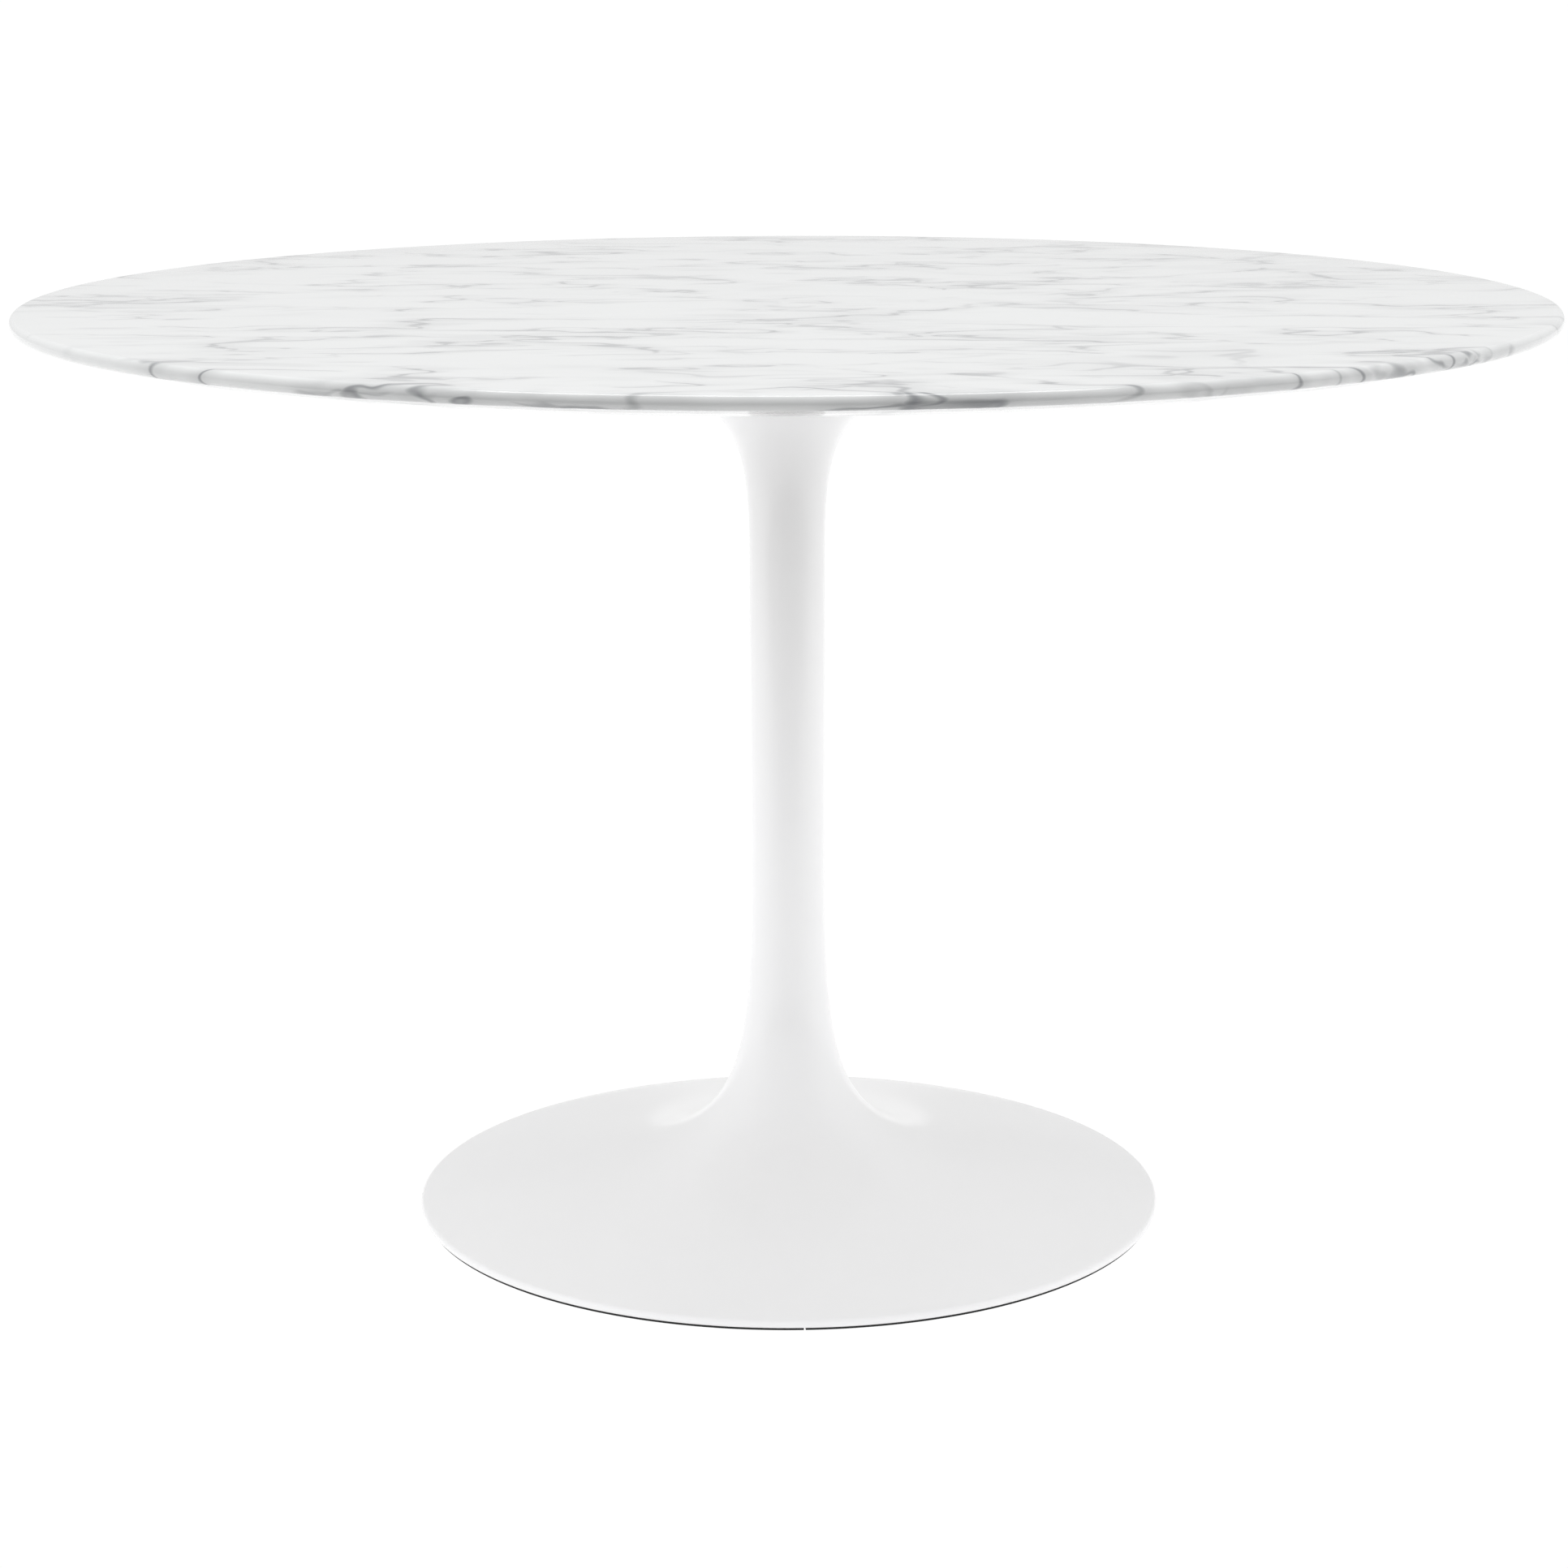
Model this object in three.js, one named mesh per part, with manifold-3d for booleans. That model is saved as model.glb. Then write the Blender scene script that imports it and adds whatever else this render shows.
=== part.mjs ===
// Round pedestal table: a marble slab on a one-piece cast pedestal, held together by one long tie rod.
// Millimetres, +Z up, origin on the floor at the table's centre. The front of the table faces -Y.
import * as THREE from 'three';
import { mergeVertices } from 'three/addons/utils/BufferGeometryUtils.js';
import Module from 'manifold-3d';

// Slab
const topDiameter = 1200;
const tableHeight = 743;
const slabThickness = 18;
const noseHeight = 11.2; // half-round edge of the slab
const bevelRun = 28; // width of the shallow bevel under the nose

// Board glued under the slab, and the threaded inserts sunk in it
const boardDiameter = 840;
const boardThickness = 12;
const insertRadius = 4.75;
const insertCover = 1; // board left above an insert
const insertCount = 8;

// Steel plate between the board and the pedestal's head
const plateOverhang = 50; // plate's edge past the head's
const plateThickness = 5;
const plateScrewInset = 19; // plate's edge to a screw's axis
const plateScrewRadius = 2.95; // M6
const plateScrewHeadRadius = 5.25;
const plateScrewHeadHeight = 3.3;
const plateScrewSocket = 4; // across flats
const plateScrewSocketDepth = 2;
const plateWasherRadius = 6.2;
const plateWasherThickness = 1.2;
const screwEndGap = 1; // screw's end to its insert's end

// Pedestal casting
const baseDiameter = 608;
const columnDiameter = 60.4;
const castingWall = 5.5;
const headDiameter = 200; // flange that carries the plate
const headEdgeThickness = 8;
const headWebThickness = 10;
const headFlareHeight = 161; // from the head's top down to the straight column
const headFlarePull = 112; // how far the column's line is held before it turns out
const headFlareReach = 79; // length of the curve's handle at the head's edge
const headFlareAngle = 54; // degrees above the horizontal at the head's edge
const footFlareTop = 260; // height where the straight column ends
const footFlareFloor = 42; // height that the column's line aims at before it turns out
const dishSlope = 9.8; // degrees, at the rim of the foot
const dishReach = 0.885; // share of the dish's run over which it holds the rim's slope
const rimRadius = 3.6;
const rimWidth = 33; // solid ring inside the rim

// Strip stuck under the rim, which the table stands on
const stripThickness = 1.8;
const stripWidth = 12;
const stripInset = 3; // rim's outside to the strip's
const stripJointAngle = -87.8; // degrees, where the strip's two ends meet
const stripJointGap = 1.2;

// Weight inside the foot, and the ring of the casting that it is clamped against
const landingOuterRadius = 80;
const landingInnerRadius = 62;
const landingDepth = 8; // below the casting's inside, at the landing's outer edge
const spigotHeight = 3;
const weightFloor = 12; // underside, above the floor
const weightRecessRadius = 20;
const weightRecessDepth = 14;

// Tie rod with its nuts and washer, and the pins that stop the top from turning
const rodRadius = 5.9; // M12
const nutAcrossFlats = 19;
const rodNutHeight = 10;
const rodEndLength = 1.5; // rod that shows below its nut
const rodWasherRadius = 14;
const rodWasherThickness = 3;
const pinCount = 2;
const pinRadius = 4;
const pinCircle = 60; // radius
const pinEndGap = 1.5; // from the pin's lower end to the web's underside

// Closing panel
const panelThickness = 2;
const panelHeight = 5; // underside, above the floor
const panelScrewCount = 6;
const panelScrewInset = 46; // rim ring to a screw's axis
const panelScrewRadius = 1.95; // M4
const panelScrewLength = 9;
const panelScrewHeadRadius = 4;
const panelScrewHeadHeight = 2.2;
const panelScrewSocket = 2.5;
const panelScrewSocketDepth = 1.2;
const panelBossRadius = 5.5;
const pilotDepth = 8; // below the panel's top, into the boss

// Clearances
const threadGap = 0.25;
const pinGap = 0.25;
const boltGap = 0.6;
const insertGap = 0.3;
const nutRoom = 4; // round the weld nut, in the board
const weldNutCover = 2; // weld nut's top to the slab
const rodCover = 0.5; // rod's top to the slab
const spigotGap = 0.5;
const weightGap = 4; // weight's slope to the dish above it
const weightToBoss = 54;
const panelGap = 2; // panel's edge to the rim ring

// Fineness
const bigRound = 48;
const smallRound = 12;
const slabRound = 72;

// Heights and radii that follow
const topRadius = topDiameter / 2;
const baseRadius = baseDiameter / 2;
const columnRadius = columnDiameter / 2;
const headRadius = headDiameter / 2;
const boardTop = tableHeight - slabThickness;
const plateTop = boardTop - boardThickness;
const headTop = plateTop - plateThickness;
const plateRadius = headRadius + plateOverhang;
const insertEnd = boardTop - insertCover;
const rodHole = rodRadius + boltGap;
const degree = Math.PI / 180;
const centre = new THREE.Vector2(0, 0);

const wasm = await Module();
wasm.setup();
const table = new THREE.Group();

const marble = new THREE.MeshStandardMaterial({ color: 0xeaeaea, roughness: 0.18, metalness: 0 });
const board = new THREE.MeshStandardMaterial({ color: 0xf0efec, roughness: 0.6, metalness: 0 });
const lacquer = new THREE.MeshStandardMaterial({ color: 0xf2f2f2, roughness: 0.15, metalness: 0 });
const zincSteel = new THREE.MeshStandardMaterial({ color: 0xb9bcc0, roughness: 0.4, metalness: 1 });
const plateSteel = new THREE.MeshStandardMaterial({ color: 0x2a2b2d, roughness: 0.55, metalness: 0.3 });
const brass = new THREE.MeshStandardMaterial({ color: 0xb59a5b, roughness: 0.35, metalness: 1 });
const castIron = new THREE.MeshStandardMaterial({ color: 0x3b3c3e, roughness: 0.8, metalness: 0.6 });
const panelPlastic = new THREE.MeshStandardMaterial({ color: 0x1d1d1e, roughness: 0.6, metalness: 0 });
const rubber = new THREE.MeshStandardMaterial({ color: 0x141414, roughness: 0.8, metalness: 0 });

function point(radius, height) {
  return new THREE.Vector2(radius, height);
}

function place(name, geometry, material, x = 0, y = 0, z = 0) {
  const mesh = new THREE.Mesh(geometry, material);
  mesh.name = name;
  mesh.position.set(x, y, z);
  table.add(mesh);
}

// Turns a profile of (radius, height) points about Z. The points run outwards, up, inwards and down.
function turn(profile, segments) {
  return new THREE.LatheGeometry(profile, segments).rotateX(Math.PI / 2);
}

function ring(innerRadius, outerRadius, low, high) {
  const corners = [point(innerRadius, low), point(outerRadius, low), point(outerRadius, high)];
  return turn([...corners, point(innerRadius, high), corners[0].clone()], smallRound);
}

function roundBar(radius, low, high) {
  return turn([point(0, low), point(radius, low), point(radius, high), point(0, high)], smallRound);
}

function arc(centreRadius, centreHeight, radius, from, to, steps) {
  return Array.from({ length: steps + 1 }, (_, i) => {
    const angle = (from + (to - from) * i / steps) * degree;
    return point(centreRadius + radius * Math.cos(angle), centreHeight + radius * Math.sin(angle));
  });
}

// Points evenly round a circle, starting half a step away from the front
function aroundCircle(radius, count) {
  return Array.from({ length: count }, (_, i) => {
    const angle = -Math.PI / 2 + 2 * Math.PI * (i + 0.5) / count;
    return new THREE.Vector2(radius * Math.cos(angle), radius * Math.sin(angle));
  });
}

// Points round a part of a circle, ends included
function arcPoints(x, y, radius, from, to, steps) {
  return Array.from({ length: steps + 1 }, (_, i) => {
    const angle = from + (to - from) * i / steps;
    return new THREE.Vector2(x + radius * Math.cos(angle), y + radius * Math.sin(angle));
  });
}

function disc(radius) {
  return new THREE.Shape(arcPoints(0, 0, radius, 0, 2 * Math.PI, bigRound).slice(1));
}

function holesAt(places, radius) {
  return places.map(({ x, y }) => {
    return new THREE.Path(arcPoints(x, y, radius, 2 * Math.PI, 0, smallRound).slice(1));
  });
}

// A flat plate cut from an outline with holes, from the height low to the height high
function plate(outline, holes, low, high) {
  outline.holes.push(...holes);
  const options = { depth: high - low, bevelEnabled: false };
  return new THREE.ExtrudeGeometry(outline, options).translate(0, 0, low);
}

function hexagon(acrossFlats) {
  const corner = acrossFlats / 2 / Math.cos(Math.PI / 6);
  const corners = Array.from({ length: 6 }, (_, i) => {
    return point(corner * Math.cos(i * Math.PI / 3), corner * Math.sin(i * Math.PI / 3));
  });
  return new THREE.Shape(corners);
}

function nut(low, high) {
  return plate(hexagon(nutAcrossFlats), holesAt([centre], rodRadius + threadGap), low, high);
}

function toSolid(geometry) {
  const bare = new THREE.BufferGeometry();
  bare.setAttribute('position', geometry.getAttribute('position').clone());
  bare.setIndex(geometry.getIndex());
  const merged = mergeVertices(bare, 1e-4);
  const corners = merged.getIndex().array;
  const whole = [];
  for (let i = 0; i < corners.length; i += 3) {
    const [a, b, c] = corners.slice(i, i + 3);
    if (a !== b && b !== c && c !== a) whole.push(a, b, c);
  }
  const vertProperties = merged.getAttribute('position').array;
  const triVerts = Uint32Array.from(whole);
  return new wasm.Manifold(new wasm.Mesh({ numProp: 3, vertProperties, triVerts }));
}

function toGeometry(solid) {
  const mesh = solid.getMesh();
  const geometry = new THREE.BufferGeometry();
  geometry.setAttribute('position', new THREE.BufferAttribute(mesh.vertProperties, 3));
  geometry.setIndex(new THREE.BufferAttribute(mesh.triVerts, 1));
  geometry.computeVertexNormals();
  return geometry;
}

// A round-headed screw whose head hangs below seat, with its shank going up, and a hexagon socket in the head
function screw(shankRadius, length, headWide, headHeight, socket, socketDepth, seat) {
  const edge = headHeight * 0.35;
  const profile = [
    point(0, seat - headHeight),
    point(headWide * 0.62, seat - headHeight),
    point(headWide * 0.88, seat - headHeight + edge),
    point(headWide, seat - edge),
    point(headWide, seat),
    point(shankRadius, seat),
    point(shankRadius, seat + length - shankRadius * 0.3),
    point(shankRadius * 0.7, seat + length),
    point(0, seat + length),
  ];
  const socketLow = seat - headHeight - 1;
  const socketHigh = seat - headHeight + socketDepth;
  const body = toSolid(turn(profile, smallRound));
  return toGeometry(body.subtract(toSolid(plate(hexagon(socket), [], socketLow, socketHigh))));
}

// Moves each point of a profile inwards by the wall's thickness, square to the profile
function innerSide(points, wall) {
  return points.map((here, i) => {
    const before = points[Math.max(i - 1, 0)];
    const after = points[Math.min(i + 1, points.length - 1)];
    const along = after.clone().sub(before).normalize();
    return point(here.x - wall * along.y, here.y + wall * along.x);
  });
}

// Height of a falling outline at a radius
function heightAt(points, radius) {
  const next = points.findIndex((p) => p.x <= radius);
  const [a, b] = [points[next - 1], points[next]];
  return a.y + (b.y - a.y) * (radius - a.x) / (b.x - a.x);
}

function slab() {
  const noseRadius = noseHeight / 2;
  const nose = arc(topRadius - noseRadius, tableHeight - noseRadius, noseRadius, -90, 90, 8);
  const bevelEnd = topRadius - noseRadius - bevelRun;
  return turn([point(0, boardTop), point(bevelEnd, boardTop), ...nose, point(0, tableHeight)], slabRound);
}

// Outside of the foot, from the rim's tangent point up to the straight column
function footCurve() {
  const slope = dishSlope * degree;
  const rim = point(
    baseRadius - rimRadius + rimRadius * Math.sin(slope),
    stripThickness + rimRadius + rimRadius * Math.cos(slope),
  );
  const reach = dishReach * (rim.x - columnRadius);
  const dish = point(rim.x - reach, rim.y + reach * Math.tan(slope));
  const aim = point(columnRadius, footFlareFloor);
  return new THREE.CubicBezierCurve(rim, dish, aim, point(columnRadius, footFlareTop));
}

// Outside of the head, from the straight column up to the head's edge
function headCurve() {
  const start = headTop - headFlareHeight;
  const angle = headFlareAngle * degree;
  const edge = point(headRadius, headTop - headEdgeThickness);
  const lean = point(edge.x - headFlareReach * Math.cos(angle), edge.y - headFlareReach * Math.sin(angle));
  const aim = point(columnRadius, start + headFlarePull);
  return new THREE.CubicBezierCurve(point(columnRadius, start), aim, lean, edge);
}

const footOutside = footCurve().getPoints(13);
const headOutside = headCurve().getPoints(8);
const footInside = innerSide(footOutside, castingWall);
const insideAt = (radius) => heightAt(footInside, radius);
const panelTop = panelHeight + panelThickness;
const rimInner = baseRadius - rimWidth;
const bossCircle = rimInner - panelScrewInset;
const landingHeight = insideAt(landingOuterRadius) - landingDepth;
const panelScrewPlaces = aroundCircle(bossCircle, panelScrewCount);
const pinPlaces = aroundCircle(pinCircle, pinCount);
const plateScrewPlaces = aroundCircle(plateRadius - plateScrewInset, insertCount);

function castingProfile() {
  const webUnderside = headTop - headWebThickness;
  const rimCentre = point(baseRadius - rimRadius, stripThickness + rimRadius);
  const rim = arc(rimCentre.x, rimCentre.y, rimRadius, -90, 90 - dishSlope, 5);
  const headInside = innerSide(headOutside, castingWall).filter((p) => p.y < webUnderside - 1);
  const aboveLanding = footInside.filter((p) => p.x < landingInnerRadius - 1);
  const belowLanding = footInside.filter((p) => p.x > landingOuterRadius + 1 && p.x < rimInner - 1);
  const web = [
    point(headRadius, headTop),
    point(rodHole, headTop),
    point(rodHole, webUnderside),
    point(headInside.at(-1).x + 1, webUnderside),
  ];
  const landing = [
    point(landingInnerRadius, insideAt(landingInnerRadius)),
    point(landingInnerRadius, landingHeight),
    point(landingOuterRadius, landingHeight),
    point(landingOuterRadius, insideAt(landingOuterRadius)),
  ];
  const underRim = [
    point(rimInner, insideAt(rimInner)),
    point(rimInner, stripThickness),
  ];
  return [
    ...rim,
    ...footOutside.slice(1),
    ...headOutside,
    ...web,
    ...headInside.reverse(),
    ...aboveLanding.reverse(),
    ...landing,
    ...belowLanding.reverse(),
    ...underRim,
    rim[0].clone(),
  ];
}

function casting() {
  let body = toSolid(turn(castingProfile(), bigRound));
  const bossTop = heightAt(footOutside, bossCircle) - castingWall / 2;
  for (const { x, y } of panelScrewPlaces) {
    body = body.add(toSolid(roundBar(panelBossRadius, panelTop, bossTop).translate(x, y, 0)));
  }
  for (const { x, y } of panelScrewPlaces) {
    const pilot = roundBar(panelScrewRadius + threadGap, panelTop - 1, panelTop + pilotDepth);
    body = body.subtract(toSolid(pilot.translate(x, y, 0)));
  }
  for (const { x, y } of pinPlaces) {
    const low = headTop - headWebThickness - 1;
    body = body.subtract(toSolid(roundBar(pinRadius + pinGap, low, headTop + 1).translate(x, y, 0)));
  }
  return toGeometry(body);
}

function strip() {
  const outer = baseRadius - stripInset;
  const half = stripJointGap / 2 / outer;
  const start = stripJointAngle * degree + half;
  const end = stripJointAngle * degree + 2 * Math.PI - half;
  const outside = arcPoints(0, 0, outer, start, end, bigRound);
  const inside = arcPoints(0, 0, outer - stripWidth, end, start, bigRound);
  return plate(new THREE.Shape([...outside, ...inside]), [], 0, stripThickness);
}

function weight() {
  const outer = bossCircle - panelBossRadius - weightToBoss;
  const underDish = footInside.filter((p) => p.x > landingOuterRadius && p.x < outer);
  const slope = [point(outer, insideAt(outer)), ...underDish].map((p) => point(p.x, p.y - weightGap));
  const recess = weightFloor + weightRecessDepth;
  const spigot = landingInnerRadius - spigotGap;
  return turn([
    point(rodHole, recess),
    point(weightRecessRadius, recess),
    point(weightRecessRadius, weightFloor),
    point(outer, weightFloor),
    ...slope.filter((p) => p.y < landingHeight),
    point(landingOuterRadius, landingHeight),
    point(spigot, landingHeight),
    point(spigot, landingHeight + spigotHeight),
    point(rodHole, landingHeight + spigotHeight),
    point(rodHole, recess),
  ], bigRound);
}

// Top
place('marble_top', slab(), marble);
const nutCorner = nutAcrossFlats / 2 / Math.cos(Math.PI / 6);
const boardHoles = [
  ...holesAt([centre], nutCorner + nutRoom),
  ...holesAt(plateScrewPlaces, insertRadius + insertGap),
];
place('backing_board', plate(disc(boardDiameter / 2), boardHoles, plateTop, boardTop), board);
plateScrewPlaces.forEach(({ x, y }, i) => {
  const bore = plateScrewRadius + threadGap;
  const insert = ring(bore, insertRadius, plateTop, insertEnd);
  place(`threaded_insert_${i + 1}`, insert, brass, x, y);
});

// Plate and its screws
const plateHoles = [
  ...holesAt([centre], rodHole),
  ...holesAt(pinPlaces, pinRadius + pinGap),
  ...holesAt(plateScrewPlaces, plateScrewRadius + boltGap),
];
place('mounting_plate', plate(disc(plateRadius), plateHoles, headTop, plateTop), plateSteel);
plateScrewPlaces.forEach(({ x, y }, i) => {
  const seat = headTop - plateWasherThickness;
  const length = insertEnd - screwEndGap - seat;
  const washer = ring(plateScrewRadius + boltGap, plateWasherRadius, seat, headTop);
  const body = screw(
    plateScrewRadius, length, plateScrewHeadRadius, plateScrewHeadHeight,
    plateScrewSocket, plateScrewSocketDepth, seat,
  );
  place(`plate_washer_${i + 1}`, washer, zincSteel, x, y);
  place(`plate_screw_${i + 1}`, body, zincSteel, x, y);
});

// Pedestal, with what is clamped in it
place('pedestal', casting(), lacquer);
place('edge_strip', strip(), rubber);
place('base_weight', weight(), castIron);
const washerTop = weightFloor + weightRecessDepth;
const nutTop = washerTop - rodWasherThickness;
const nutLow = nutTop - rodNutHeight;
place('rod_washer', ring(rodHole, rodWasherRadius, nutTop, washerTop), zincSteel);
place('rod_nut', nut(nutLow, nutTop), zincSteel);
place('weld_nut', nut(plateTop, boardTop - weldNutCover), zincSteel);
place('tie_rod', roundBar(rodRadius, nutLow - rodEndLength, boardTop - rodCover), zincSteel);
pinPlaces.forEach(({ x, y }, i) => {
  const low = headTop - headWebThickness + pinEndGap;
  place(`locating_pin_${i + 1}`, roundBar(pinRadius, low, plateTop), zincSteel, x, y);
});

// Closing panel
const panelHoles = holesAt(panelScrewPlaces, panelScrewRadius + threadGap);
const panelOutline = disc(rimInner - panelGap);
place('closing_panel', plate(panelOutline, panelHoles, panelHeight, panelTop), panelPlastic);
panelScrewPlaces.forEach(({ x, y }, i) => {
  const body = screw(
    panelScrewRadius, panelScrewLength, panelScrewHeadRadius, panelScrewHeadHeight,
    panelScrewSocket, panelScrewSocketDepth, panelHeight,
  );
  place(`panel_screw_${i + 1}`, body, zincSteel, x, y);
});

export default table;
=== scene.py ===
# Round pedestal dining table: a polished slab on a white lacquered casting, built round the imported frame.
# Metres, +Z up, with the front of the table towards -Y.
import bpy
import math
from mathutils import Matrix, Vector


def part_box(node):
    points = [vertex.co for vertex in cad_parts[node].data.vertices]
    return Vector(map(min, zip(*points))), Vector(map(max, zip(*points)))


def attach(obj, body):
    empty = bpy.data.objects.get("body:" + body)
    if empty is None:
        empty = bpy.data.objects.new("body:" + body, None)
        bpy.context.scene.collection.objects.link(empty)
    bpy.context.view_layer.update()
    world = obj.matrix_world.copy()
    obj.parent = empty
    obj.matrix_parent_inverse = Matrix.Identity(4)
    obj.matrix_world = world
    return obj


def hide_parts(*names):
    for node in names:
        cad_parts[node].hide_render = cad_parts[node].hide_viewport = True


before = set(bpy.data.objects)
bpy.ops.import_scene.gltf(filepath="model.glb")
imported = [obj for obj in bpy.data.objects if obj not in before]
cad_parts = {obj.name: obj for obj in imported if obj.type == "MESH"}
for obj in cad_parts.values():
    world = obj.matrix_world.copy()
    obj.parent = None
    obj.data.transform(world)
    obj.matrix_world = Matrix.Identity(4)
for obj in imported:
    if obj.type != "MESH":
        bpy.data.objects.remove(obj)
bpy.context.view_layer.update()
print("frame loaded:", len(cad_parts), "nodes")
mm = 0.001
toolOver = 1 * mm  # how far a cutting tool stands past what it cuts


# Shared tools

def linear(hexColour):  # an sRGB hex colour as Blender's linear values
    parts = [int(hexColour[i:i + 2], 16) / 255 for i in (1, 3, 5)]
    return [p / 12.92 if p <= 0.04045 else ((p + 0.055) / 1.055) ** 2.4 for p in parts] + [1]


def addNode(tree, kind, inputs=None, **settings):  # an input is a plain value, or a socket to link from
    node = tree.nodes.new(kind)
    for name, value in settings.items():
        setattr(node, name, value)
    for key, value in (inputs or {}).items():
        if isinstance(value, bpy.types.NodeSocket):
            tree.links.new(value, node.inputs[key])
        else:
            node.inputs[key].default_value = value
    return node.outputs


def startMaterial(name, **values):  # even values go straight on the shader's own sockets
    material = bpy.data.materials.new(name)
    material.use_nodes = True
    tree = material.node_tree
    shader = tree.nodes["Principled BSDF"].inputs
    for key, value in values.items():
        shader[key].default_value = value
    return material, tree, shader, addNode(tree, "ShaderNodeTexCoord")["Object"]


def startTree(name, **inputs):  # a Geometry Nodes tree, with its inputs given as name=(socket kind, value)
    tree = bpy.data.node_groups.new(name, "GeometryNodeTree")
    tree.interface.new_socket("Geometry", in_out="INPUT", socket_type="NodeSocketGeometry")
    for label, (kind, value) in inputs.items():
        socket = tree.interface.new_socket(label, in_out="INPUT", socket_type="NodeSocket" + kind)
        if value is not None:
            socket.default_value = value
    tree.interface.new_socket("Geometry", in_out="OUTPUT", socket_type="NodeSocketGeometry")
    return tree, addNode(tree, "NodeGroupInput")


def endTree(tree, geometry, material):
    real = addNode(tree, "GeometryNodeRealizeInstances", {0: geometry})
    painted = addNode(tree, "GeometryNodeSetMaterial", {"Geometry": real[0], "Material": material})
    addNode(tree, "NodeGroupOutput", {0: painted[0]})
    return tree


def grow(name, mesh, tree, **values):  # a piece whose mesh is what the tree makes of the one given
    piece = bpy.data.objects.new(name, mesh)
    bpy.context.scene.collection.objects.link(piece)
    modifier = piece.modifiers.new("grow", "NODES")
    modifier.node_group = tree
    for socket in tree.interface.items_tree:
        if socket.in_out == "INPUT" and socket.name in values:
            modifier[socket.identifier] = values[socket.name]
    return settle(piece)


def settle(piece, sharpAngle=32):  # swaps the mesh for what the modifiers make of it
    view = bpy.context.evaluated_depsgraph_get()
    mesh = bpy.data.meshes.new_from_object(piece.evaluated_get(view))
    piece.modifiers.clear()
    piece.data = mesh
    mesh.name = piece.name
    mesh.shade_smooth()
    mesh.set_sharp_from_angle(angle=math.radians(sharpAngle))
    return piece


def cut(piece, operation, *tools):  # joins, cuts or crosses the piece with solids that then go
    for tool in tools:
        modifier = piece.modifiers.new("cut", "BOOLEAN")
        modifier.operation = operation
        modifier.solver = "EXACT"
        modifier.object = tool
    settle(piece)
    for tool in tools:
        bpy.data.objects.remove(tool)
    return piece


def stand(piece, slot, *nodes):  # the piece takes the place of these CAD nodes
    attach(piece, "root")
    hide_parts(*nodes)


def numbered(stem, count):
    return [f"{stem}_{i + 1}" for i in range(count)]


def arc(centre, radius, start, end, steps):  # points round an arc, angles in degrees
    angles = [math.radians(start + (end - start) * i / steps) for i in range(steps + 1)]
    return [(centre[0] + radius * math.cos(a), centre[1] + radius * math.sin(a)) for a in angles]


def bezier(p0, p1, p2, p3, steps):
    points = []
    for i in range(steps + 1):
        t = i / steps
        weights = ((1 - t) ** 3, 3 * (1 - t) ** 2 * t, 3 * (1 - t) * t ** 2, t ** 3)
        points.append(tuple(sum(w * p[k] for w, p in zip(weights, (p0, p1, p2, p3))) for k in (0, 1)))
    return points


def eased(corners, size, steps=3, closed=True):  # a profile with its corners rounded off
    points = []
    for i, here in enumerate(corners):
        if not closed and i in (0, len(corners) - 1):
            points.append(here)
            continue
        ends = []
        for other in (corners[i - 1], corners[(i + 1) % len(corners)]):
            gap = math.dist(here, other)
            share = min(size, gap * 0.4) / gap  # so that the roundings at the two ends of a side never meet
            ends.append(tuple(here[k] + (other[k] - here[k]) * share for k in (0, 1)))
        points += bezier(ends[0], here, here, ends[1], steps)
    return points + points[:1] if closed else points


# Turning: every round piece is a profile of (radius, height) points turned about Z, running outwards, up,
# inwards and down. A point with a third number is cut by a helical thread, to that share of its depth.

threadForm = {  # crest and root are where the flat top and bottom of a thread end, in turns from its middle
    "crest": 0.06, "root": 0.42, "rowsPerTurn": 6,
}


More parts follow.
